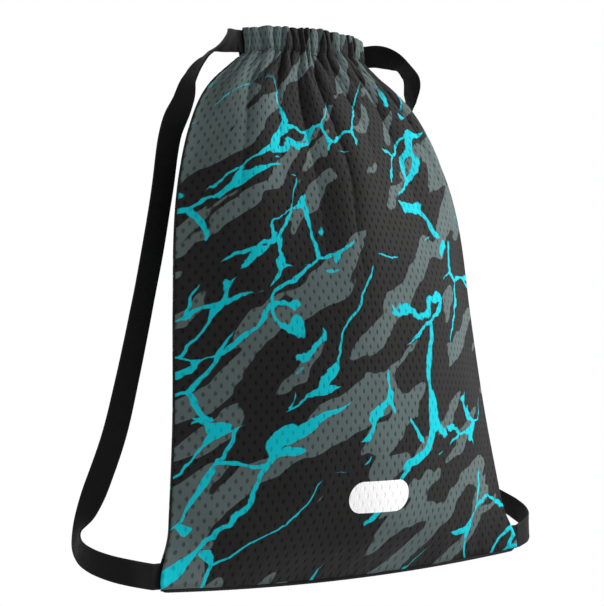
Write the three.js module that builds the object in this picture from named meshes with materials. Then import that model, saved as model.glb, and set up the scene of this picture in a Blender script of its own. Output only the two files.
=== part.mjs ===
// Drawstring backpack: two sports-mesh panels sewn into a sack, a gathered casing round its mouth,
// and two flat webbing drawstrings that double as the shoulder straps.
// Millimetres, +Z up, -Y the printed front, +Y the wearer's side, origin in the middle of the mouth's top rim.
import * as THREE from 'three';

// ---- Sack ------------------------------------------------------------------------------------
const sackWidth = 350; // between the two bottom corners, along the bottom seam
const sackHeight = 441; // bottom corners to the casing
const sackSag = 7; // how far the middle of the bottom seam hangs below the corners
const frontFullness = 72; // how far the front panel stands out at its fullest
const backFullness = 42; // the same for the back panel, before it flattens
const backFlat = 28; // the wearer's side is flat from this far behind the side seams
const neckSetBack = 8; // how far the belly sits in front of the mouth
const clothThickness = 2;
const sewingGap = 0.3; // left between touching pieces

// ---- Mouth -----------------------------------------------------------------------------------
const mouthHalfWidth = 62; // gathered casing
const neckEase = 4; // how much further the gathered panels reach on each side, just under the casing
const mouthDepth = 15; // bow of each half of the casing
const casingWall = 1.1;
const casingEaseHigh = 1.1; // free room in the tunnel above and below the webbing
const casingEaseDeep = 0.65; // the same in front of it and behind it
const casingPart = 1; // between the two halves of the casing where they meet at the side seams

// ---- Webbing ---------------------------------------------------------------------------------
const webbingWidth = 20;
const webbingThickness = 1.5;
const webbingProud = 3; // of the casing's open end
const swingGap = 4; // between a swinging strap and the ends it hangs between
const tailLength = 10; // strap end held in the side seam
const tailRise = 3; // its lower edge, above the bottom corners
const runEnd = 0.84; // where the drawn webbing is sewn down, as a share of the half width

// ---- Seams and thread ------------------------------------------------------------------------
const seamWidth = 4;
const threadWidth = 1.6;
const stitchRise = 3; // the row of stitches, above the casing's lower edge
const threadThickness = 0.8;
const bartackLength = 6;
const bartackMargin = 2.5; // between a bartack and the webbing's edges

const panelColumns = 24;
const panelRows = 20;
const casingSteps = 20;
const bottomSeamSteps = 24;
const strapSteps = 72;

const cornerHalfWidth = sackWidth / 2;
const seamHalfDepth = clothThickness + sewingGap;
const neckHalfWidth = mouthHalfWidth + neckEase;
const casingDepth = webbingThickness + 2 * (casingEaseDeep + casingWall);
const casingHeight = webbingWidth + 2 * (casingEaseHigh + casingWall);
const casingOffset = (casingDepth + casingPart) / 2;
const casingMiddle = sackHeight + sewingGap + casingHeight / 2;
const rimHeight = casingMiddle + casingHeight / 2 + sewingGap;
const stitchHeight = sackHeight + sewingGap + stitchRise;
const tailHeight = tailRise + webbingWidth / 2;
const bartackHeight = webbingWidth - 2 * bartackMargin;

// ---- Outline ---------------------------------------------------------------------------------
// A smooth curve through [height share, value] points, as a function of the height share.
function profile(points) {
  const slope = points.map((point, i) => {
    const before = points[Math.max(i - 1, 0)];
    const after = points[Math.min(i + 1, points.length - 1)];
    return (after[1] - before[1]) / (after[0] - before[0]);
  });
  return (share) => {
    let i = 0;
    while (i < points.length - 2 && share > points[i + 1][0]) i++;
    const [startX, startY] = points[i];
    const [endX, endY] = points[i + 1];
    const span = endX - startX;
    const t = THREE.MathUtils.clamp((share - startX) / span, 0, 1);
    const bend = t * t * (3 - 2 * t);
    const lead = t * (1 - t) * (1 - t) * span * slope[i];
    const tail = t * t * (1 - t) * span * slope[i + 1];
    return startY + (endY - startY) * bend + lead - tail;
  };
}

const spread = profile([[0, 1], [0.12, 0.935], [0.3, 0.848], [0.5, 0.787], [0.65, 0.742], [0.75, 0.67],
  [0.85, 0.528], [0.93, 0.335], [1, 0]]);
const fullness = profile([[0, 0], [0.06, 0.47], [0.16, 0.78], [0.32, 0.97], [0.5, 1], [0.68, 0.8],
  [0.82, 0.5], [0.93, 0.2], [1, 0]]);
const setBack = profile([[0, -0.75], [0.45, -1], [0.73, -1.5], [0.9, -0.75], [1, 0]]);

const halfWidthAt = (share) => neckHalfWidth + (cornerHalfWidth - neckHalfWidth) * spread(share);
const middleAt = (share) => neckSetBack * setBack(share);
const neckBow = (share) => mouthDepth * THREE.MathUtils.smoothstep(share, 0.6, 1);
const bottomAt = (across) => -sackSag * (1 - across * across);
const shareAt = (v) => THREE.MathUtils.lerp((seamWidth + sewingGap) / sackHeight, 1, v);

// ---- Solids ----------------------------------------------------------------------------------
function solid(points, faces) {
  const geometry = new THREE.BufferGeometry();
  geometry.setAttribute('position', new THREE.Float32BufferAttribute(points.flatMap((p) => p.toArray()), 3));
  geometry.setIndex(faces.flat());
  geometry.computeVertexNormals();
  return geometry;
}

function quad(faces, a, b, c, d) {
  faces.push([a, b, c], [a, c, d]);
}

// A sheet of even thickness under outer(u, v), with u and v from 0 to 1 and its outside along du x dv.
function sheet(columns, rows, thickness, outer) {
  const points = [];
  const step = 1e-3;
  for (let j = 0; j <= rows; j++) {
    for (let i = 0; i <= columns; i++) points.push(outer(i / columns, j / rows));
  }
  for (let j = 0; j <= rows; j++) {
    for (let i = 0; i <= columns; i++) {
      const u = THREE.MathUtils.clamp(i / columns, step, 1 - step);
      const v = THREE.MathUtils.clamp(j / rows, step, 1 - step);
      const along = outer(u + step, v).sub(outer(u - step, v));
      const up = outer(u, v + step).sub(outer(u, v - step));
      const normal = along.cross(up).normalize();
      points.push(points[j * (columns + 1) + i].clone().addScaledVector(normal, -thickness));
    }
  }
  const faces = [];
  const inside = (columns + 1) * (rows + 1);
  const at = (i, j) => j * (columns + 1) + i;
  for (let j = 0; j < rows; j++) {
    for (let i = 0; i < columns; i++) {
      quad(faces, at(i, j), at(i + 1, j), at(i + 1, j + 1), at(i, j + 1));
      quad(faces, inside + at(i, j), inside + at(i, j + 1), inside + at(i + 1, j + 1), inside + at(i + 1, j));
    }
  }
  for (let i = 0; i < columns; i++) {
    quad(faces, at(i + 1, 0), at(i, 0), inside + at(i, 0), inside + at(i + 1, 0));
    quad(faces, at(i, rows), at(i + 1, rows), inside + at(i + 1, rows), inside + at(i, rows));
  }
  for (let j = 0; j < rows; j++) {
    quad(faces, at(0, j), at(0, j + 1), inside + at(0, j + 1), inside + at(0, j));
    quad(faces, at(columns, j + 1), at(columns, j), inside + at(columns, j), inside + at(columns, j + 1));
  }
  return solid(points, faces);
}

// The four corners of a flat strip's section at each step of curve(t), which gives its middle,
// with across(t) the direction of its width. Sections stand square to the curve, or to heading.
function stripSections(steps, curve, across, width, thickness, heading) {
  const sections = [];
  const step = 1e-3;
  for (let i = 0; i <= steps; i++) {
    const t = i / steps;
    const middle = curve(t);
    const ahead = heading ?? curve(Math.min(t + step, 1)).sub(curve(Math.max(t - step, 0))).normalize();
    const side = across(t).clone();
    side.addScaledVector(ahead, -side.dot(ahead)).normalize();
    const face = new THREE.Vector3().crossVectors(ahead, side);
    const corner = (a, b) => middle.clone()
      .addScaledVector(side, (a * width) / 2)
      .addScaledVector(face, (b * thickness) / 2);
    sections.push([corner(-1, -1), corner(1, -1), corner(1, 1), corner(-1, 1)]);
  }
  return sections;
}

function walls(faces, sections, first, inward) {
  for (let i = 0; i + 1 < sections.length; i++) {
    for (let k = 0; k < 4; k++) {
      const a = first + i * 4 + k;
      const b = first + i * 4 + ((k + 1) % 4);
      if (inward) quad(faces, a, a + 4, b + 4, b);
      else quad(faces, a, b, b + 4, a + 4);
    }
  }
}

function strip(steps, curve, across, width, thickness, heading) {
  const sections = stripSections(steps, curve, across, width, thickness, heading);
  const faces = [];
  const last = steps * 4;
  walls(faces, sections, 0, false);
  quad(faces, 3, 2, 1, 0);
  quad(faces, last, last + 1, last + 2, last + 3);
  return solid(sections.flat(), faces);
}

function tunnel(steps, curve, across, width, thickness, wall) {
  const outer = stripSections(steps, curve, across, width, thickness);
  const inner = stripSections(steps, curve, across, width - 2 * wall, thickness - 2 * wall);
  const faces = [];
  const hole = outer.length * 4;
  const last = steps * 4;
  walls(faces, outer, 0, false);
  walls(faces, inner, hole, true);
  for (let k = 0; k < 4; k++) {
    const next = (k + 1) % 4;
    quad(faces, next, k, hole + k, hole + next);
    quad(faces, last + k, last + next, hole + last + next, hole + last + k);
  }
  return solid([...outer.flat(), ...inner.flat()], faces);
}

// ---- Materials -------------------------------------------------------------------------------
const cloth = (color) => new THREE.MeshStandardMaterial({ color, roughness: 0.85, metalness: 0 });
const meshCloth = () => cloth(0x3a3d3c);
const webbing = () => cloth(0x161616);
const seamCloth = () => cloth(0x242424);
const thread = () => cloth(0x0e0e0e);

const backpack = new THREE.Group();
backpack.position.z = -rimHeight;

function add(name, geometry, material) {
  const mesh = new THREE.Mesh(geometry, material);
  mesh.name = name;
  backpack.add(mesh);
}

// ---- Sack panels: facing is 1 for the front and -1 for the back ---------------------------------
function panelPoint(facing, u, v) {
  const across = 2 * u - 1;
  const share = shareAt(v);
  const bow = 1 - across * across;
  const full = facing > 0 ? frontFullness : backFullness;
  const depth = seamHalfDepth + (full * fullness(v) + neckBow(share)) * bow;
  const height = share * sackHeight + bottomAt(across) * (1 - v) ** 4;
  const x = facing * across * (halfWidthAt(share) - seamWidth - sewingGap);
  const y = middleAt(share) - facing * depth;
  return new THREE.Vector3(x, facing > 0 ? y : Math.min(y, backFlat), height);
}

add('front_panel', sheet(panelColumns, panelRows, clothThickness, (u, v) => panelPoint(1, u, v)), meshCloth());
add('back_panel', sheet(panelColumns, panelRows, clothThickness, (u, v) => panelPoint(-1, u, v)), meshCloth());

// ---- Seams: the side seams start above the strap tails and step up with the panels' rows ---------
const seamStart = (tailHeight + webbingWidth / 2 + 2) / sackHeight;
const seamSteps = panelRows - 1;
const alongY = new THREE.Vector3(0, 1, 0);
const alongZ = new THREE.Vector3(0, 0, 1);

for (const [name, side] of [['side_seam_left', -1], ['side_seam_right', 1]]) {
  const curve = (t) => {
    const share = t > 0 ? shareAt((1 + t * seamSteps) / panelRows) : seamStart;
    return new THREE.Vector3(side * (halfWidthAt(share) - seamWidth / 2), middleAt(share), share * sackHeight);
  };
  add(name, strip(seamSteps, curve, () => alongY, 2 * seamHalfDepth, seamWidth, alongZ), seamCloth());
}

const bottomSeamHalf = cornerHalfWidth - seamWidth - 3;
add('bottom_seam', strip(bottomSeamSteps, (t) => {
  const x = (2 * t - 1) * bottomSeamHalf;
  return new THREE.Vector3(x, middleAt(0), bottomAt(x / cornerHalfWidth) + seamWidth / 2);
}, () => alongY, 2 * seamHalfDepth, seamWidth), seamCloth());

// ---- Casing: a flat tunnel across each half of the mouth, with its webbing, stitching and bartack ----
function casingPoint(facing, across, outward, height) {
  const bow = casingOffset + mouthDepth * (1 - across * across);
  const lean = new THREE.Vector2(2 * mouthDepth * across, mouthHalfWidth).normalize();
  return new THREE.Vector3(across * mouthHalfWidth + outward * lean.x, -facing * (bow + outward * lean.y), height);
}

function casingHalf(facing, name, strapName) {
  const along = (from, to, outward, height) => (t) => (
    casingPoint(facing, THREE.MathUtils.lerp(from, to, t), outward, height));
  const up = () => alongZ;
  const openEnd = -facing * (1 + webbingProud / mouthHalfWidth);
  const stitched = 1 - 2 / casingSteps;
  const outside = casingDepth / 2 + sewingGap + threadThickness / 2;
  const bartackHalf = bartackLength / 2 / mouthHalfWidth;
  const bartackMiddle = facing * (runEnd - bartackHalf);
  add(`${name}_casing`, tunnel(casingSteps, along(-1, 1, 0, casingMiddle), up,
    casingHeight, casingDepth, casingWall), meshCloth());
  add(`${name}_casing_stitching`, strip(casingSteps - 2, along(-stitched, stitched, outside, stitchHeight), up,
    threadWidth, threadThickness), thread());
  add(`${strapName}_casing_run`, strip(casingSteps, along(openEnd, facing * runEnd, 0, casingMiddle), up,
    webbingWidth, webbingThickness), webbing());
  add(`${name}_casing_bartack`, strip(2, along(bartackMiddle - bartackHalf, bartackMiddle + bartackHalf,
    -outside, casingMiddle), up, bartackHeight, threadThickness), thread());
}

casingHalf(1, 'front', 'strap_left');
casingHalf(-1, 'back', 'strap_right');

// ---- Straps: the free length of each webbing, from the casing's open end to its bottom corner -------
// Each row: height as a share of the sack's, millimetres outward and backward of the side seam at that
// height, and the direction of the webbing's width as outward, backward and up.
const strapRoute = [
  [1.026, 12, -5, 0, -0.3, 1],
  [1.014, 23, -13, 0, -0.9, 0.5],
  [1, 31, -16, 0, -1, 0],
  [0.978, 30, -11, 0, -1, 0],
  [0.947, 20, 4, -0.15, -1, 0],
  [0.91, 9, 14, -0.6, -0.8, 0],
  [0.85, 6, 22, -1, -0.1, 0],
  [0.733, 0, 28, -1, 0, 0],
  [0.62, 4, 30, -1, 0, 0],
  [0.506, 12, 34, -1, 0, 0],
  [0.395, 20, 40, -1, -0.1, 0],
  [0.287, 28, 48, -1, -0.3, 0],
  [0.209, 35, 58, -1, -0.5, 0],
  [0.155, 41, 65, -0.6, -0.85, -0.1],
];

// The same, with heights in millimetres above the tail: the turn from there into the bottom corner.
const strapTurn = [
  [35.95, 50, 62, -0.1, -0.8, 0.5],
  [24.04, 54, 47, 0, -0.5, 0.85],
  [16.55, 51, 32, 0, -0.3, 0.95],
  [9.49, 41, 16, 0, -0.15, 1],
  [4.2, 27, 5, 0, 0, 1],
];
const strapRows = [
  ...strapRoute,
  ...strapTurn.map(([rise, ...row]) => [(tailHeight + rise) / sackHeight, ...row]),
];

const cornerAt = tailHeight / sackHeight;
const tailOuter = cornerHalfWidth - seamWidth + tailLength;

for (const [name, side] of [['strap_left', -1], ['strap_right', 1]]) {
  const topOuter = mouthHalfWidth + webbingProud + swingGap;
  const top = new THREE.Vector3(side * topOuter, side * casingOffset, casingMiddle);
  const bottom = new THREE.Vector3(side * (tailOuter + swingGap), middleAt(cornerAt), tailHeight);
  const middles = strapRows.map(([up, outward, backward]) => {
    const share = Math.min(up, 1);
    const x = side * (halfWidthAt(share) + outward);
    return new THREE.Vector3(x, middleAt(share) + backward, up * sackHeight);
  });
  const widths = strapRows.map((row) => new THREE.Vector3(side * row[3], row[4], row[5]));
  const middleCurve = new THREE.CatmullRomCurve3([top, ...middles, bottom]);
  const widthCurve = new THREE.CatmullRomCurve3([alongZ, ...widths, alongZ]);
  add(name, strip(strapSteps, (t) => middleCurve.getPoint(t), (t) => widthCurve.getPoint(t),
    webbingWidth, webbingThickness), webbing());

  const tailCurve = (t) => new THREE.Vector3(side * (tailOuter - tailLength * t), middleAt(cornerAt), tailHeight);
  add(`${name}_tail`, strip(1, tailCurve, () => alongZ, webbingWidth, webbingThickness), webbing());

  const tackFace = middleAt(cornerAt) - webbingThickness / 2 - sewingGap - threadThickness / 2;
  const tackInner = tailOuter - tailLength + 1;
  const tackCurve = (t) => new THREE.Vector3(side * (tackInner + bartackLength * t), tackFace, tailHeight);
  add(`${name}_corner_bartack`, strip(1, tackCurve, () => alongZ, bartackHeight, threadThickness), thread());
}

export default backpack;
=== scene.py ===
"""A drawstring backpack: two printed sports-mesh panels gathered into a casing, hung by two flat webbings.

Metres, +Z up, -Y the printed front, +Y the wearer's side, origin in the middle of the mouth's top rim.
"""
import math

import bpy
import numpy as np
from mathutils import Matrix, Vector


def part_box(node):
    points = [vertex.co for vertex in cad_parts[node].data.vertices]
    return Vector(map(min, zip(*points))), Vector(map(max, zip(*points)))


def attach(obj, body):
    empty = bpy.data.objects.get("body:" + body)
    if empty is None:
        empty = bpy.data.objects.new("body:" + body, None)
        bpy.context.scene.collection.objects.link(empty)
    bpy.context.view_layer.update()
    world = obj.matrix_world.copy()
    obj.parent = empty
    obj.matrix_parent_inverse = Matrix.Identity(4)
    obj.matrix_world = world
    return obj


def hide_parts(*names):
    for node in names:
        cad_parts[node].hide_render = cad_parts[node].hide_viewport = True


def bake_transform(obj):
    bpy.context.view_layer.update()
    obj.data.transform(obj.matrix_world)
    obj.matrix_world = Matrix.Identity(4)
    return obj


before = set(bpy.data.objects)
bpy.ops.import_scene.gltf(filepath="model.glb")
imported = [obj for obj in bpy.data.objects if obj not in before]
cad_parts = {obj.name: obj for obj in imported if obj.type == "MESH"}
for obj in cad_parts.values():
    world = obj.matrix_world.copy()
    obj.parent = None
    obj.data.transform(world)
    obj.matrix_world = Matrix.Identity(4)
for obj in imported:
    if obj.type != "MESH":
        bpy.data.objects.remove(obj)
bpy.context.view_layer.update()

MM = 0.001

# ---- The CAD model's own sizes, in millimetres above the bottom corners -----------------------
SACK_WIDTH = 350
SACK_HEIGHT = 441
SACK_SAG = 7
FRONT_FULLNESS = 72
BACK_FULLNESS = 42
BACK_FLAT = 28
NECK_SET_BACK = 8
MOUTH_HALF_WIDTH = 62
NECK_HALF_WIDTH = 66
MOUTH_DEPTH = 15
CASING_HEIGHT = 24.4
CASING_DEPTH = 5.0
CASING_OFFSET = 3.0
CASING_MIDDLE = 453.5
RIM_HEIGHT = 466
STITCH_HEIGHT = 444.3
WEBBING_WIDTH = 20
WEBBING_THICKNESS = 1.5
WEBBING_PROUD = 3
SWING_GAP = 4
TAIL_HEIGHT = 13
TAIL_LENGTH = 10
RUN_END = 0.84
SEAM_WIDTH = 4
SEWING_GAP = 0.3
SEAM_HALF_DEPTH = 2.3

# ---- Cloth and thread, in millimetres ---------------------------------------------------------
CLOTH_WIDTH = 350  # flat width of a panel, side seam to side seam
CLOTH_LENGTH = 470  # flat length of a panel, bottom seam to casing
CLOTH_THICKNESS = 1.0
PLEATS = 17  # across each half of the casing
PLEAT_DEPTH = 5.2
SECTION_OUT = 0.3  # how square the casing's section is: 1 is an ellipse, 0 a rectangle
SECTION_UP = 0.85
CASING_SEAM = 12  # flat cloth between the panel's end and the middle of its casing
BEAD_WIDTH = 3.4  # of a turned and overlocked seam allowance
BOTTOM_BEAD_DEPTH = 5.0
STITCH_THREAD = 0.6
BARTACK_THREAD = 0.7
BARTACK_HALF_HEIGHT = 7.5
BARTACK_LENGTH = 6
BARTACK_TURNS = 9
STITCHES = 52  # in each casing's row
STRAP_STEPS = 340
THREAD_POINTS = 8  # round a thread's section


# ---- Curves ------------------------------------------------------------------------------------
def smooth(value, low, high):
    t = np.clip((value - low) / (high - low), 0, 1)
    return t * t * (3 - 2 * t)


def profile(points):
    """A smooth curve through (height share, value) points, as a function of the height share."""
    xs = np.array([p[0] for p in points], float)
    ys = np.array([p[1] for p in points], float)
    before = np.maximum(np.arange(len(xs)) - 1, 0)
    after = np.minimum(np.arange(len(xs)) + 1, len(xs) - 1)
    slopes = (ys[after] - ys[before]) / (xs[after] - xs[before])

    def at(share):
        i = np.searchsorted(xs[1:-1], share)
        span = xs[i + 1] - xs[i]
        t = np.clip((share - xs[i]) / span, 0, 1)
        bend = ys[i] + (ys[i + 1] - ys[i]) * t * t * (3 - 2 * t)
        return bend + t * (1 - t) * span * ((1 - t) * slopes[i] - t * slopes[i + 1])

    return at


spread = profile([(0, 1), (0.12, 0.935), (0.3, 0.848), (0.5, 0.787), (0.65, 0.742), (0.75, 0.67),
                  (0.85, 0.528), (0.93, 0.335), (1, 0)])
fullness = profile([(0, 0), (0.06, 0.47), (0.16, 0.78), (0.32, 0.97), (0.5, 1), (0.68, 0.8),
                    (0.82, 0.5), (0.93, 0.2), (1, 0)])
set_back = profile([(0, -0.75), (0.45, -1), (0.73, -1.5), (0.9, -0.75), (1, 0)])


def half_width_at(share):
    return NECK_HALF_WIDTH + (SACK_WIDTH / 2 - NECK_HALF_WIDTH) * spread(share)


def middle_at(share):
    return NECK_SET_BACK * set_back(share)


def smooth_curve(points, samples):
    """A centripetal Catmull-Rom curve through the points, and through its widths alike."""
    points = np.array(points, float)
    padded = np.vstack([2 * points[0] - points[1], points, 2 * points[-1] - points[-2]])
    made = []
    for place in np.linspace(0, len(points) - 1, samples):
        i = min(int(place), len(points) - 2)
        w = place - i
        a, b, c, d = padded[i:i + 4]
        gap_a, gap_b, gap_c = (np.linalg.norm(q - p) ** 0.5 for p, q in ((a, b), (b, c), (c, d)))
        gap_b = gap_b if gap_b > 1e-4 else 1.0
        gap_a = gap_a if gap_a > 1e-4 else gap_b
        gap_c = gap_c if gap_c > 1e-4 else gap_b
        lead = ((b - a) / gap_a - (c - a) / (gap_a + gap_b) + (c - b) / gap_b) * gap_b
        tail = ((c - b) / gap_b - (d - b) / (gap_b + gap_c) + (d - c) / gap_c) * gap_b
        made.append(b + lead * w + (3 * (c - b) - 2 * lead - tail) * w ** 2
                    + (2 * (b - c) + lead + tail) * w ** 3)
    return np.array(made)


def unit(vectors):
    return vectors / np.maximum(np.linalg.norm(vectors, axis=-1, keepdims=True), 1e-9)


# ---- Camera: level with the bag's lower part and a little to its left, tilted to set it leaning ---
def make_camera(location, forward, up, lens):
    data = bpy.data.cameras.new("camera")
    data.lens = lens
    data.sensor_width = 36
    data.clip_end = 50
    camera = bpy.data.objects.new("camera", data)
    bpy.context.scene.collection.objects.link(camera)
    forward = Vector(forward).normalized()
    right = forward.cross(Vector(up)).normalized()
    turn = Matrix((right, right.cross(forward), -forward)).transposed()
    camera.matrix_world = Matrix.Translation(location) @ turn.to_4x4()
    bpy.context.scene.camera = camera


make_camera((-0.708, -1.0427, -0.3998), (0.5446, 0.8288, 0.1283), (0, -0.153, 0.9882), 87.7)


# ---- Meshes ------------------------------------------------------------------------------------
def skin(name, grid, cloth, round_rows=False, round_columns=True, capped=False):
    """A mesh over a grid of points [row, column] in millimetres above the corners, with its cloth
    coordinates in metres. round_* joins the last to the first; capped closes both ends."""
    rows, columns = grid.shape[:2]
    index = np.arange(rows * columns).reshape(rows, columns)
    i = np.arange(rows if round_rows else rows - 1)
    j = np.arange(columns if round_columns else columns - 1)
    low, left = np.meshgrid(i, j, indexing="ij")
    high, right = (low + 1) % rows, (left + 1) % columns
    faces = np.stack([index[low, left], index[low, right], index[high, right], index[high, left]], -1)
    faces = faces.reshape(-1, 4)
    if capped:
        k = np.arange(columns // 2 - 1)
        ladder = np.stack([k, columns - 1 - k, columns - 2 - k, k + 1], -1)
        faces = np.vstack([faces, index[0][ladder], index[-1][ladder[:, ::-1]]])
    points = grid.reshape(-1, 3) * MM - np.array([0, 0, RIM_HEIGHT * MM])
    mesh = bpy.data.meshes.new(name)
    mesh.from_pydata(points.tolist(), [], faces.tolist())
    layer = mesh.uv_layers.new(name="cloth")
    corners = np.zeros(len(mesh.loops), np.int32)
    mesh.loops.foreach_get("vertex_index", corners)
    layer.data.foreach_set("uv", cloth.reshape(-1, 2)[corners].astype(np.float32).ravel())
    mesh.polygons.foreach_set("use_smooth", np.ones(len(mesh.polygons), bool))
    mesh.update()
    piece = bpy.data.objects.new(name, mesh)
    bpy.context.scene.collection.objects.link(piece)
    return piece


def normals(grid, outward):
    """Unit normals of an open grid, on the side that outward points to."""
    across = unit(np.cross(np.gradient(grid, axis=1), np.gradient(grid, axis=0)))
    facing = np.sign(np.sum(across * np.array(outward, float), axis=-1).mean())
    return across * facing


def finish_piece(piece, material, nodes):
    piece.data.materials.append(material)
    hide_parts(*nodes)


def bend_between(piece):
    """piece, with its placement baked into its mesh."""
    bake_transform(piece)


# ---- Gathers -----------------------------------------------------------------------------------
def fold(place):
    """Round ridges with sharp creases between them, one for each unit of place, from 0 to 1."""
    return np.sqrt(np.abs(np.sin(np.pi * place)) + 0.01) - 0.1


def pleats(across, level, facing):
    """The casing's irregular tight pleats, level millimetres above its foot: 0 in a crease, 1 on a ridge."""
    drift = 0.035 * np.sin(6.1 * across + facing) + 0.016 * np.sin(15.7 * across + 2.3 * facing)
    drift = drift + 0.014 * np.sin(level / 5.5 + 13 * across + facing)
    height = 0.8 + 0.2 * np.sin(23.0 * across + 4 * facing + 1)
    return fold((across + drift) * PLEATS / 2 + 0.4) * height


def gathers(across, below, facing):
    """How far the cloth stands out of the panel, below millimetres under the casing."""
    drift = 0.05 * np.sin(4.7 * across + 1.7 * facing) + 0.012 * np.sin(below / 21 + 7 * across)
    reach = 0.62 + 0.38 * np.sin(9.3 * across + 2.1 * facing + 0.6)
    tight = PLEAT_DEPTH * pleats(across, -below, facing) * np.exp(-(below / 26) ** 1.3)
    tight += 2.6 * np.exp(-(below / 9) ** 2) - 1.2 * np.exp(-((below - 2.5) / 3) ** 2)
    medium = 7.5 * (fold((across + drift) * PLEATS / 4 + 0.2) - 0.6)
    medium *= smooth(below, 2, 24) * np.exp(-(below / (45 + 85 * reach)) ** 1.6)
    broad = 4.0 * np.sin((across + 1.4 * drift) * 8.2 + facing + 0.5)
    broad *= smooth(below, 10, 60) * np.exp(-(below / (110 + 90 * reach)) ** 2)
    return tight + medium + broad


def slack(across, up, facing):
    """Soft hollows and swells of the loose cloth, and the puckers along its bottom seam."""
    swell = 1.5 * np.sin(4.1 * across + up / 88 + facing) * np.sin(up / 61 + 1.8 * across)
    swell += 0.8 * np.sin(9.7 * across - up / 43 + 2 * facing)
    pucker = 0.9 * np.sin(44 * across + 2.2 * np.sin(9 * across)) * np.exp(-up / 13)
    corner = 2.2 * np.sin((up + 120 * (1 - np.abs(across))) / 9.5) * np.exp(-up / 45)
    corner = corner * smooth(np.abs(across), 0.62, 0.9)
    shoulder = 6.0 * np.exp(-((up - 350) / 75) ** 2 - ((np.abs(across) - 0.68) / 0.3) ** 2) * (facing > 0)
    return swell + pucker + corner + shoulder


# ---- Sack panels -------------------------------------------------------------------------------
def panel_surface(facing, across, v):
    share = (SEAM_WIDTH + SEWING_GAP) / SACK_HEIGHT * (1 - v) + v
    bow = 1 - across ** 2
    full = FRONT_FULLNESS if facing > 0 else BACK_FULLNESS
    depth = SEAM_HALF_DEPTH + (full * fullness(v) + MOUTH_DEPTH * smooth(share, 0.6, 1)) * bow
    y = middle_at(share) - facing * depth
    if facing < 0:
        y = BACK_FLAT - 2 * np.logaddexp(0, (BACK_FLAT - y) / 2)
    height = share * SACK_HEIGHT - SACK_SAG * bow * (1 - v) ** 4
    x = across * (half_width_at(share) - SEAM_WIDTH - SEWING_GAP)
    return np.stack([x, y, height], -1)


def ear_at(up):
    """How far the sack's corners are pulled out over the webbing sewn into them."""
    return 8.0 * (1 - smooth(up, 0, 44)) * (1 - 0.25 * np.exp(-up / 5))


def make_panel(facing, name, material):
    columns, rows = 280, 170
    across, v = np.meshgrid(np.linspace(-1, 1, columns), np.linspace(0, 1, rows) ** 0.9)
    base = panel_surface(facing, across, v)
    out = normals(base, (0, -facing, 0))
    up = v * SACK_HEIGHT
    at_seams = (1 - np.abs(across) ** 14) * smooth(up, -6, 14)
    lift = gathers(across, SACK_HEIGHT - up, facing) + slack(across, up, facing)
    outer = base + out * (lift * at_seams)[..., None]
    turned = np.sign(across) * (3.8 * np.abs(across) ** 16 + ear_at(up) * np.abs(across) ** 24)
    covered = -1.3 * facing * np.abs(across) ** 24 * smooth(-up, -30, -10)
    outer += np.stack([turned, covered, 0.5 * v ** 60 - 1.6 * np.exp(-up / 7)], -1)
    inner = outer - normals(outer, (0, -facing, 0)) * CLOTH_THICKNESS
    cloth = np.stack([(1 + facing * across) / 2 * CLOTH_WIDTH, v * CLOTH_LENGTH], -1) * MM
    grid = np.concatenate([outer, inner[:, ::-1]], axis=1)
    cloths = np.concatenate([cloth, cloth[:, ::-1]], axis=1)
    panel = skin(name, grid, cloths, capped=True)
    finish_piece(panel, material, [name])
    bend_between(panel)


# ---- Casings -----------------------------------------------------------------------------------
def casing_surface(facing, across, outward, height):
    lean = unit(np.stack([2 * MOUTH_DEPTH * across, MOUTH_HALF_WIDTH + 0 * across], -1))
    bow = CASING_OFFSET + MOUTH_DEPTH * (1 - across ** 2)
    x = across * MOUTH_HALF_WIDTH + outward * lean[..., 0]
    return np.stack([x, -facing * (bow + outward * lean[..., 1]), height], -1)


def casing_outline(facing, across, turn):
    """Outward distance and height of the casing's pleated wall, turn radians round its section."""
    wall = pleats(across, (1 + np.sin(turn)) * CASING_HEIGHT / 2, facing)
    tucked = 1 - across ** 6
    outside = np.cos(turn) > 0
    front = CASING_DEPTH / 2 - 0.1 + PLEAT_DEPTH * wall * tucked
    behind = CASING_DEPTH / 2 - 0.2 + 1.4 * wall * (1 - across ** 2)
    depth = np.where(outside, front, behind)
    rim = 0.9 * (wall - 0.5) + 0.5 * np.sin(9 * across + facing)
    height = CASING_HEIGHT / 2 + np.where(np.sin(turn) > 0, rim * tucked, 0.3)
    outward = depth * np.sign(np.cos(turn)) * np.abs(np.cos(turn)) ** SECTION_OUT
    belt = 1 - 0.14 * np.exp(-((np.sin(turn) + 0.7) / 0.2) ** 2) * outside
    return outward * belt, height * np.sign(np.sin(turn)) * np.abs(np.sin(turn)) ** SECTION_UP


def make_casing(facing, name, material):
    stations, around = 340, 44
    across, turn = np.meshgrid(np.linspace(-1, 1, stations), np.arange(around) / around * math.tau)
    outward, height = casing_outline(facing, across, turn)
    outer = casing_surface(facing, across, outward, CASING_MIDDLE + height)
    middle = casing_surface(facing, across, 0 * across, CASING_MIDDLE + 0.88 * height)
    inner = outer + unit(middle - outer) * CLOTH_THICKNESS
    lean = 0.5 * np.sin(18 * across + facing) * np.cos(turn)
    outer[..., 0] += lean
    inner[..., 0] += lean
    length = CLOTH_LENGTH + CASING_SEAM + height
    cloth = np.stack([(1 + facing * across) / 2 * CLOTH_WIDTH, length], -1) * MM
    grid = np.concatenate([outer, inner[:, ::-1]], axis=1)
    cloths = np.concatenate([cloth, cloth[:, ::-1]], axis=1)
    casing = skin(name, grid, cloths, round_rows=True)
    finish_piece(casing, material, [name])
    bend_between(casing)


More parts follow.
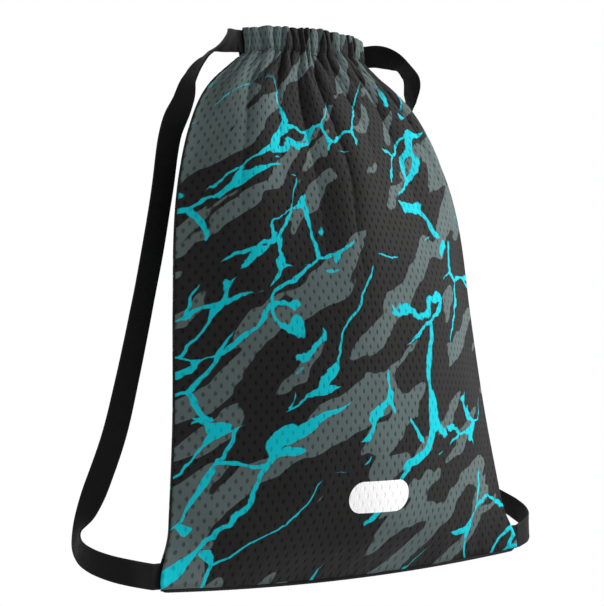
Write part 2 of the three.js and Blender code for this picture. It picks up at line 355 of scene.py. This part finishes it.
# ---- Flat webbing ------------------------------------------------------------------------------
def ribbon(name, middles, widths, width=WEBBING_WIDTH, thickness=WEBBING_THICKNESS):
    """A flat woven strap along its middle line, its width along widths."""
    side = np.array([-1, -0.985, -0.94, -0.8, -0.4, 0, 0.4, 0.8, 0.94, 0.985, 1])
    rise = np.array([0.25, 0.7, 1, 0.92, 0.9, 0.9, 0.9, 0.92, 1, 0.7, 0.25])
    side = np.concatenate([side, side[::-1]]) * width / 2
    rise = np.concatenate([rise, -rise[::-1]]) * thickness / 2
    ahead = unit(np.gradient(middles, axis=0))
    across = unit(widths - ahead * np.sum(widths * ahead, axis=1, keepdims=True))
    face = np.cross(ahead, across)
    grid = middles[:, None] + across[:, None] * side[:, None] + face[:, None] * rise[:, None]
    steps = np.linalg.norm(np.diff(middles, axis=0), axis=1)
    length = np.concatenate([[0], np.cumsum(steps)])
    cloth = np.stack(np.broadcast_arrays(side[None, :], length[:, None]), -1) * MM
    return skin(name, grid, cloth, capped=True), length


# Each row: height as a share of the sack's, millimetres outward and backward of the side seam at that
# height, and the direction of the webbing's width as outward, backward and up.
STRAP_ROUTE = [
    (1.026, 12, -5, 0, -0.3, 1),
    (1.014, 23, -13, 0, -0.9, 0.5),
    (1, 31, -16, 0, -1, 0),
    (0.978, 30, -11, 0, -1, 0),
    (0.947, 20, 4, -0.15, -1, 0),
    (0.91, 9, 14, -0.6, -0.8, 0),
    (0.85, 6, 22, -1, -0.1, 0),
    (0.733, 0, 28, -1, 0, 0),
    (0.62, 4, 30, -1, 0, 0),
    (0.506, 12, 34, -1, 0, 0),
    (0.395, 20, 40, -1, -0.1, 0),
    (0.287, 28, 48, -1, -0.3, 0),
    (0.209, 35, 58, -1, -0.5, 0),
    (0.155, 41, 65, -0.6, -0.85, -0.1),
    (0.111, 50, 62, -0.1, -0.8, 0.5),
    (0.084, 54, 47, 0, -0.5, 0.85),
    (0.067, 51, 32, 0, -0.3, 0.95),
    (0.051, 41, 16, 0, -0.15, 1),
    (0.039, 27, 5, 0, 0, 1),
]


def make_strap(side, name, material):
    """One webbing, from inside its casing's open end, behind the sack, into its bottom corner."""
    corner = middle_at(TAIL_HEIGHT / SACK_HEIGHT)
    tail_outer = SACK_WIDTH / 2 - SEAM_WIDTH + TAIL_LENGTH
    top = (side * (MOUTH_HALF_WIDTH + WEBBING_PROUD + SWING_GAP), side * CASING_OFFSET, CASING_MIDDLE)
    bottom = (side * (tail_outer + SWING_GAP), corner, TAIL_HEIGHT)
    middles = [top]
    for up, outward, backward, *_ in STRAP_ROUTE:
        share = min(up, 1)
        x = side * (half_width_at(share) + outward)
        middles.append((x, middle_at(share) + backward, up * SACK_HEIGHT))
    middles.append(bottom)
    widths = [(0, 0, 1)] + [(side * row[3], row[4], row[5]) for row in STRAP_ROUTE] + [(0, 0, 1)]
    line = smooth_curve(middles, STRAP_STEPS)
    turns = smooth_curve(widths, STRAP_STEPS)
    inside = np.array([(side * x, side * CASING_OFFSET, CASING_MIDDLE) for x in (62.5, 64.5, 66.5)])
    sewn = np.array([(side * (tail_outer + x), corner, TAIL_HEIGHT) for x in (2, 0, -4, -TAIL_LENGTH)])
    line = np.vstack([inside, line, sewn])
    up = np.array([(0, 0, 1.0)])
    turns = np.vstack([np.repeat(up, 3, 0), turns, np.repeat(up, 4, 0)])
    strap, length = ribbon(name, line, turns)
    finish_piece(strap, material, [name, f"{name}_tail"])
    bend_between(strap)


def make_casing_run(facing, name, material):
    """The drawn webbing inside a casing, up to where it is sewn down."""
    ends = np.linspace(-facing * (1 + 1.5 / MOUTH_HALF_WIDTH), facing * RUN_END, 60)
    line = casing_surface(facing, ends, 0 * ends, CASING_MIDDLE + 0 * ends)
    run, _ = ribbon(name, line, np.repeat(np.array([(0, 0, 1.0)]), 60, 0))
    finish_piece(run, material, [name])
    bend_between(run)


# ---- Seams -------------------------------------------------------------------------------------
def make_bead(name, middles, widths, wide, deep, cloth, material):
    """A turned and overlocked seam allowance: a soft bead with a thread wrapped round it."""
    steps = np.linalg.norm(np.diff(middles, axis=0), axis=1)
    length = np.concatenate([[0], np.cumsum(steps)])
    turn = np.arange(16) / 16 * math.tau
    ends = np.minimum(length, length[-1] - length)
    swell = (1 + 0.035 * np.sin(length / 3.1 * math.tau)) * (0.3 + 0.7 * smooth(ends, 0, 5))
    ahead = unit(np.gradient(middles, axis=0))
    across = unit(widths - ahead * np.sum(widths * ahead, axis=1, keepdims=True))
    face = np.cross(ahead, across)
    side = np.sign(np.cos(turn)) * np.abs(np.cos(turn)) ** 0.8 * wide / 2
    rise = np.sign(np.sin(turn)) * np.abs(np.sin(turn)) ** 0.8 * deep / 2
    grid = middles[:, None] + (across[:, None] * side[:, None] + face[:, None] * rise[:, None]) \
        * swell[:, None, None]
    cloth = cloth[:, None] + np.stack([side, 0 * side], -1)[None] * MM
    bead = skin(name, grid, cloth, capped=True)
    finish_piece(bead, material, [name])
    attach(bead, "sack")


def make_side_seam(side, name, material):
    share = np.linspace(25 / SACK_HEIGHT, 1, 300)
    out = half_width_at(share) + ear_at(share * SACK_HEIGHT) - SEAM_WIDTH / 2
    middles = np.stack([side * out, middle_at(share), share * SACK_HEIGHT], -1)
    edge = CLOTH_WIDTH * (side > 0) + 0 * share
    cloth = np.stack([edge, share * CLOTH_LENGTH], -1) * MM
    make_bead(name, middles, np.repeat([(1.0, 0, 0)], 300, 0), BEAD_WIDTH, BEAD_WIDTH, cloth, material)


def make_bottom_seam(material):
    x = np.linspace(-179, 179, 360)
    middles = np.stack([x, middle_at(0) + 0 * x, 1.7 - SACK_SAG * (1 - (x / 175) ** 2)], -1)
    cloth = np.stack([x, 0 * x], -1) * MM
    upright = np.repeat([(0, 0, 1.0)], 360, 0)
    make_bead("bottom_seam", middles, upright, BEAD_WIDTH, BOTTOM_BEAD_DEPTH, cloth, material)


# ---- Thread ------------------------------------------------------------------------------------
def thread_line(name, points, thick):
    """A thread of round section along the points."""
    ahead = unit(np.gradient(points, axis=0))
    flat = np.abs(ahead[:, 2:]) > 0.9
    reference = np.where(flat, np.array([(1.0, 0, 0)]), np.array([(0, 0, 1.0)]))
    across = unit(np.cross(ahead, reference))
    face = np.cross(across, ahead)
    turn = np.arange(THREAD_POINTS) / THREAD_POINTS * math.tau
    taper = np.ones(len(points))
    taper[[0, -1]] = 0.3
    ring = across[:, None] * np.cos(turn)[:, None] + face[:, None] * np.sin(turn)[:, None]
    grid = points[:, None] + ring * (taper * thick / 2)[:, None, None]
    length = np.concatenate([[0], np.cumsum(np.linalg.norm(np.diff(points, axis=0), axis=1))])
    cloth = np.stack(np.broadcast_arrays(turn[None, :] * thick / 2, length[:, None]), -1) * MM
    return skin(name, grid, cloth, capped=True)


def joined(name, parts):
    """One piece from several threads."""
    with bpy.context.temp_override(active_object=parts[0], selected_editable_objects=parts):
        bpy.ops.object.join()
    parts[0].name = name
    return parts[0]


def make_casing_stitching(facing, name, material):
    """A row of lockstitches along the foot of the casing, following its pleats."""
    edges = np.linspace(-0.9, 0.9, STITCHES + 1)
    parts, places = [], []
    turn = -math.asin(((CASING_MIDDLE - STITCH_HEIGHT) / (CASING_HEIGHT / 2)) ** (1 / SECTION_UP))
    for start, end in zip(edges[:-1], edges[1:]):
        across = np.linspace(start, start + 0.72 * (end - start), 6)
        outward, _ = casing_outline(facing, across, np.full(6, turn))
        lift = np.array([-0.25, 0.15, 0.25, 0.25, 0.15, -0.25])
        points = casing_surface(facing, across, outward + lift, np.full(6, STITCH_HEIGHT))
        parts.append(thread_line("stitch", points, STITCH_THREAD))
        places.append(np.repeat(across, THREAD_POINTS))
    piece = joined(name, parts)
    finish_piece(piece, material, [name])
    bend_between(piece)


def zigzag(left, right):
    """A satin bartack's path in a plane: its coordinates along and up, three points at each turn."""
    count = BARTACK_TURNS * 2 + 1
    along = np.linspace(left, right, count)
    up = np.where(np.arange(count) % 2 == 0, -BARTACK_HALF_HEIGHT, BARTACK_HALF_HEIGHT)
    return np.repeat(along, 3)[1:-1], np.repeat(up, 3)[1:-1]


def loosened(points):
    """The points, each moved a little, so that repeated ones stay distinct."""
    return points + 0.02 * np.sin(np.arange(len(points)))[:, None]


def make_casing_bartack(facing, name, material):
    ends = facing * (RUN_END - BARTACK_LENGTH / MOUTH_HALF_WIDTH), facing * RUN_END
    along, up = zigzag(*ends)
    behind = CASING_DEPTH / 2 + 1.4 * (1 - along ** 2) + 0.2
    points = casing_surface(facing, along, -behind, CASING_MIDDLE + up)
    points = loosened(points)
    piece = thread_line(name, points, BARTACK_THREAD)
    finish_piece(piece, material, [name])
    bend_between(piece)


def make_corner_bartack(name, material):
    low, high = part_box(name)
    along, up = zigzag(low.x / MM, high.x / MM)
    y = (low.y + high.y) / 2 / MM + 0.25
    points = np.stack([along, y + 0 * along, TAIL_HEIGHT + up], -1)
    points = loosened(points)
    piece = thread_line(name, points, BARTACK_THREAD)
    finish_piece(piece, material, [name])
    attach(piece, "sack")


# ---- Materials ---------------------------------------------------------------------------------
class Material:
    """A node material, with short calls for the nodes that it is made of."""

    def __init__(self, name):
        self.material = bpy.data.materials.new(name)
        self.material.use_nodes = True
        self.tree = self.material.node_tree
        self.shader = self.tree.nodes["Principled BSDF"]
        self.cloth = self.node("ShaderNodeUVMap", uv_map="cloth").outputs[0]

    def node(self, kind, inputs=(), **settings):
        made = self.tree.nodes.new(kind)
        for key, value in settings.items():
            setattr(made, key, value)
        for key, value in dict(inputs).items():
            self.set(made.inputs[key], value)
        return made

    def set(self, socket, value):
        if isinstance(value, bpy.types.NodeSocket):
            self.tree.links.new(value, socket)
        else:
            socket.default_value = value

    def math(self, operation, *values):
        return self.node("ShaderNodeMath", enumerate(values), operation=operation).outputs[0]

    def vector(self, operation, *values):
        inputs = dict(enumerate(values))
        if operation == "SCALE":
            inputs = {0: values[0], "Scale": values[1]}
        return self.node("ShaderNodeVectorMath", inputs, operation=operation).outputs[0]

    def split(self, vector):
        outputs = self.node("ShaderNodeSeparateXYZ", {0: vector}).outputs
        return outputs[0], outputs[1]

    def noise(self, vector, scale, detail=2.0, output="Fac", **inputs):
        values = {"Vector": vector, "Scale": scale, "Detail": detail, **inputs}
        return self.node("ShaderNodeTexNoise", values).outputs[output]

    def step(self, value, low, high, to_low=0.0, to_high=1.0):
        """value, smoothly from to_low at low to to_high at high."""
        inputs = {"Value": value, "From Min": low, "From Max": high, "To Min": to_low, "To Max": to_high}
        return self.node("ShaderNodeMapRange", inputs, interpolation_type="SMOOTHSTEP").outputs[0]

    def mix(self, share, a, b, blend="MIX"):
        made = self.node("ShaderNodeMix", {0: share}, data_type="RGBA", blend_type=blend)
        self.set(made.inputs[6], a)
        self.set(made.inputs[7], b)
        return made.outputs[2]

    def shade(self, colour, share, darkest):
        """colour, darkened to darkest of itself where share is 1."""
        level = self.step(share, 0.0, 1.0, 1.0, darkest)
        grey = self.node("ShaderNodeCombineColor", {0: level, 1: level, 2: level}).outputs[0]
        return self.mix(1.0, colour, grey, blend="MULTIPLY")

    def bump(self, height, distance, normal=None):
        inputs = {"Height": height, "Distance": distance, "Strength": 1.0}
        if normal is not None:
            inputs["Normal"] = normal
        return self.node("ShaderNodeBump", inputs).outputs[0]

    def finish(self, colour, roughness, normal):
        self.set(self.shader.inputs["Base Color"], colour)
        self.set(self.shader.inputs["Roughness"], roughness)
        self.set(self.shader.inputs["Normal"], normal)
        self.shader.inputs["Specular IOR Level"].default_value = 0.08
        return self.material


CHARCOAL = (0.0100, 0.0098, 0.0096, 1)
GREY = (0.056, 0.077, 0.075, 1)
CYAN = (0.0, 0.30, 0.35, 1)
WHITE = (0.6, 0.6, 0.6, 1)
EYELET_PITCH = 8.5  # millimetres between eyelets in a row
EYELET_ROWS = 6.2  # millimetres between rows, each set half a pitch along from the last
EYELET_HALF = (1.4, 2.5)  # half an eyelet's width and height in millimetres
KNIT_PITCH = 4.25  # millimetres along the cloth in one wave of the knit, half of EYELET_PITCH
FLOW = 38  # degrees from the bottom seam to the direction the print runs in


def eyelets(m):
    """1 in the sports mesh's pointed eyelets, 0 on the cloth between them."""
    along, up = m.split(m.cloth)
    row = m.math("DIVIDE", up, EYELET_ROWS * MM)
    odd = m.math("MODULO", m.math("FLOOR", row), 2.0)
    column = m.math("ADD", m.math("DIVIDE", along, EYELET_PITCH * MM), m.math("MULTIPLY", odd, 0.5))
    x = m.math("ABSOLUTE", m.math("SUBTRACT", m.math("FRACT", column), 0.5))
    y = m.math("ABSOLUTE", m.math("SUBTRACT", m.math("FRACT", row), 0.5))
    x = m.math("MULTIPLY", x, EYELET_PITCH / EYELET_HALF[0])
    y = m.math("MULTIPLY", y, EYELET_ROWS / EYELET_HALF[1])
    round_reach = m.math("SQRT", m.math("ADD", m.math("MULTIPLY", x, x), m.math("MULTIPLY", y, y)))
    reach = m.math("MULTIPLY_ADD", m.math("ADD", x, y), 0.4, m.math("MULTIPLY", round_reach, 0.6))
    return m.step(reach, 1.35, 0.4)


def knit(m):
    """The fine slanted honeycomb of the knit, from 0 to 1."""
    along, up = m.split(m.cloth)
    steep = m.math("MULTIPLY", up, 1.37)
    left, right = (m.math("SINE", m.math("MULTIPLY", m.math(way, along, steep), math.tau / (KNIT_PITCH * MM)))
                   for way in ("ADD", "SUBTRACT"))
    return m.math("MULTIPLY_ADD", m.math("MULTIPLY", left, right), 0.5, 0.5)


def torn(m, place, scale, amount, detail=1.0):
    """place, pushed about by a noise of that scale by up to amount metres."""
    push = m.vector("SUBTRACT", m.noise(place, scale, detail, "Color"), (0.5, 0.5, 0.5))
    return m.vector("ADD", place, m.vector("SCALE", push, 2 * amount))


def drawn_out(m, place, stretch):
    """Cloth coordinates turned to the print's direction and drawn out along it."""
    inputs = {"Vector": place, "Rotation": (0, 0, math.radians(FLOW)), "Scale": (stretch, 1, 1)}
    return m.node("ShaderNodeMapping", inputs, vector_type="TEXTURE").outputs[0]


def lightning(m, offset, cells, thin, knot):
    """1 on thin forked lines with knots in them and drawn-out ends, 0 elsewhere."""
    place = torn(m, m.vector("ADD", m.cloth, (*offset, 0)), 14.0, 0.022)
    place = torn(m, place, 70.0, 0.0035, 2.0)
    place = drawn_out(m, place, 2.5)
    lines = m.node("ShaderNodeTexVoronoi", {"Vector": place, "Scale": cells, "Randomness": 1.0},
                   feature="DISTANCE_TO_EDGE").outputs["Distance"]
    knots = m.step(m.noise(place, cells * 3.0, 1.0), 0.52, 0.74, 0.0, knot)
    reach = m.noise(m.vector("ADD", place, (3.1, 1.7, 0)), cells * 1.1, 1.0)
    level = m.math("ADD", m.step(reach, 0.40, 0.53, -knot, thin), knots)
    return m.step(m.math("SUBTRACT", level, lines), 0.0, 0.008)


def camouflage(m, offset):
    """1 on the print's grey patches, 0 on its charcoal ground: grey at two of its corners."""
    place = torn(m, m.vector("ADD", m.cloth, (*offset, 0)), 24.0, 0.012, 2.0)
    place = drawn_out(m, place, 4.0)
    patches = m.noise(place, 32.0, 1.0, Roughness=0.4)
    teeth = m.noise(m.vector("ADD", place, (5.2, 0.4, 0)), 75.0, 1.0)
    level = m.math("MULTIPLY_ADD", teeth, 0.22, patches)
    for height, reach in ((0.015, 0.06), (0.46, 0.15)):
        away = m.vector("SUBTRACT", m.cloth, (0.0, height, 0))
        away = m.node("ShaderNodeVectorMath", {0: away}, operation="LENGTH").outputs["Value"]
        level = m.math("ADD", level, m.step(away, reach, 0.02, 0.0, 0.2))
    return m.step(level, 0.660, 0.670)


def badge(m, middle, size):
    """1 inside a plain rounded label of that size, in millimetres of cloth."""
    along, up = m.split(m.cloth)
    radius = size[1] / 2 * MM
    x = m.math("ABSOLUTE", m.math("SUBTRACT", along, middle[0] * MM))
    x = m.math("MAXIMUM", m.math("SUBTRACT", x, size[0] / 2 * MM - radius), 0.0)
    y = m.math("SUBTRACT", up, middle[1] * MM)
    away = m.math("SQRT", m.math("ADD", m.math("MULTIPLY", x, x), m.math("MULTIPLY", y, y)))
    return m.step(away, radius, radius - 0.4 * MM)


def print_cloth(name, offset, label=None):
    m = Material(name)
    holes = eyelets(m)
    weave = knit(m)
    worn = m.noise(m.cloth, 22.0, 3.0)
    _, up = m.split(m.cloth)
    colour = m.mix(camouflage(m, offset), CHARCOAL, GREY)
    colour = m.shade(colour, m.step(worn, 0.3, 0.75), 0.86)
    bolt = m.math("MAXIMUM", lightning(m, offset, 12.0, 0.018, 0.045),
                  lightning(m, (offset[0] + 0.4, offset[1] + 0.9), 17.0, 0.018, 0.04))
    bolt = m.math("MULTIPLY", bolt, m.step(up, 0.445, 0.425))
    colour = m.mix(bolt, colour, CYAN)
    # Painted shade: the colour halved in the eyelet holes, less so on the cyan.
    colour = m.shade(colour, m.math("MULTIPLY", holes, m.step(bolt, 0.0, 1.0, 1.0, 0.45)), 0.5)
    if label:
        colour = m.mix(badge(m, *label), colour, WHITE)
    colour = m.shade(colour, weave, 0.88)
    height = m.math("SUBTRACT", m.math("MULTIPLY", weave, 0.12), holes)
    height = m.math("MULTIPLY_ADD", m.noise(m.cloth, 900.0, 2.0), 0.15, height)
    roughness = m.step(holes, 0.0, 1.0, 0.78, 0.92)
    return m.finish(colour, roughness, m.bump(height, 0.0004))


def webbing_material():
    m = Material("webbing")
    across, along = m.split(m.cloth)
    rib = m.math("SINE", m.math("MULTIPLY", m.math("ADD", along, m.math("MULTIPLY", across, 0.6)), 4200.0))
    warp = m.math("SINE", m.math("MULTIPLY", across, 5200.0))
    weave = m.math("MULTIPLY_ADD", m.math("MULTIPLY", rib, warp), 0.5, 0.5)
    edge = m.step(m.math("ABSOLUTE", across), 0.0082, 0.0092)
    fuzz = m.noise(m.cloth, 160.0, 4.0)
    colour = m.mix(m.step(fuzz, 0.3, 0.7), (0.0026, 0.0026, 0.0026, 1), (0.0044, 0.0044, 0.0043, 1))
    colour = m.shade(colour, m.math("MULTIPLY", weave, 0.7), 0.7)
    # Painted highlight: the webbing lighter along its raised, rounded edges.
    colour = m.mix(m.math("MULTIPLY", edge, 0.35), colour, (0.011, 0.011, 0.0105, 1))
    height = m.math("ADD", weave, m.math("MULTIPLY", fuzz, 0.3))
    return m.finish(colour, m.step(fuzz, 0.3, 0.7, 0.6, 0.75), m.bump(height, 0.0002))


def seam_material():
    m = Material("seam_cloth")
    across, along = m.split(m.cloth)
    wrap = m.math("SINE", m.math("MULTIPLY", m.math("ADD", along, across), 2600.0))
    fuzz = m.noise(m.cloth, 260.0, 3.0)
    colour = m.mix(m.step(fuzz, 0.35, 0.65), (0.007, 0.0072, 0.0072, 1), (0.012, 0.0123, 0.0123, 1))
    # Painted shade in the grooves between the overlock thread's wraps, where the bump is lowest.
    colour = m.shade(colour, m.step(wrap, -0.2, -0.9), 0.55)
    height = m.math("MULTIPLY_ADD", fuzz, 0.4, wrap)
    return m.finish(colour, m.step(fuzz, 0.3, 0.7, 0.7, 0.85), m.bump(height, 0.0002))


def thread_material():
    m = Material("thread")
    across, along = m.split(m.cloth)
    ply = m.math("SINE", m.math("MULTIPLY", m.math("ADD", along, m.math("MULTIPLY", across, 1.5)), 5200.0))
    fuzz = m.noise(m.cloth, 800.0, 2.0)
    # Painted shade in the grooves between the plies and painted highlight on their crowns, following the
    # bump.
    colour = m.mix(m.step(ply, -1.0, 1.0), (0.004, 0.004, 0.004, 1), (0.011, 0.011, 0.011, 1))
    height = m.math("MULTIPLY_ADD", fuzz, 0.4, ply)
    return m.finish(colour, m.step(fuzz, 0.3, 0.7, 0.45, 0.6), m.bump(height, 0.0001))


# ---- Build -------------------------------------------------------------------------------------
webbing = webbing_material()
thread = thread_material()
seam_cloth = seam_material()
front_print = print_cloth("front_print", (0.11, 0.23), label=((171, 64), (62, 26)))
back_print = print_cloth("back_print", (1.31, 0.87))

make_strap(-1, "strap_left", webbing)
make_strap(1, "strap_right", webbing)
make_casing_run(1, "strap_left_casing_run", webbing)
make_casing_run(-1, "strap_right_casing_run", webbing)
make_panel(1, "front_panel", front_print)
make_panel(-1, "back_panel", back_print)
make_casing(1, "front_casing", front_print)
make_casing(-1, "back_casing", back_print)
make_side_seam(-1, "side_seam_left", seam_cloth)
make_side_seam(1, "side_seam_right", seam_cloth)
make_bottom_seam(seam_cloth)
make_casing_stitching(1, "front_casing_stitching", thread)
make_casing_stitching(-1, "back_casing_stitching", thread)
make_casing_bartack(1, "front_casing_bartack", thread)
make_casing_bartack(-1, "back_casing_bartack", thread)
make_corner_bartack("strap_left_corner_bartack", thread)
make_corner_bartack("strap_right_corner_bartack", thread)


# ---- Studio ------------------------------------------------------------------------------------
def make_floor():
    m = Material("studio_floor")
    place = m.node("ShaderNodeTexCoord").outputs["Object"]
    mottle = m.noise(place, 3.0, 3.0)
    m.finish(m.mix(mottle, (0.80, 0.80, 0.80, 1), (0.84, 0.84, 0.84, 1)), 0.8, m.bump(mottle, 0.0005))
    mesh = bpy.data.meshes.new("studio_floor")
    reach = 2.2
    corners = [(-reach, -reach, 0), (reach, -reach, 0), (reach, reach, 0), (-reach, reach, 0)]
    mesh.from_pydata(corners, [], [(0, 1, 2, 3)])
    mesh.materials.append(m.material)
    floor = bpy.data.objects.new("studio_floor", mesh)
    floor.location = (0, 0, -0.9)
    bpy.context.scene.collection.objects.link(floor)


def make_light(name, location, target, size, power):
    data = bpy.data.lights.new(name, "AREA")
    data.shape = "SQUARE"
    data.size = size
    data.energy = power
    light = bpy.data.objects.new(name, data)
    light.location = location
    light.rotation_mode = "QUATERNION"
    aim = Vector(target) - Vector(location)
    light.rotation_quaternion = aim.to_track_quat("-Z", "Y")
    bpy.context.scene.collection.objects.link(light)


make_floor()
make_light("key", (1.8, -1.1, 0.9), (0, 0, -0.25), 1.0, 120)

world = bpy.data.worlds.new("studio")
world.use_nodes = True
world.node_tree.nodes["Background"].inputs["Color"].default_value = (1, 1, 1, 1)
world.node_tree.nodes["Background"].inputs["Strength"].default_value = 1.0
bpy.context.scene.world = world
bpy.context.scene.view_settings.view_transform = "Standard"
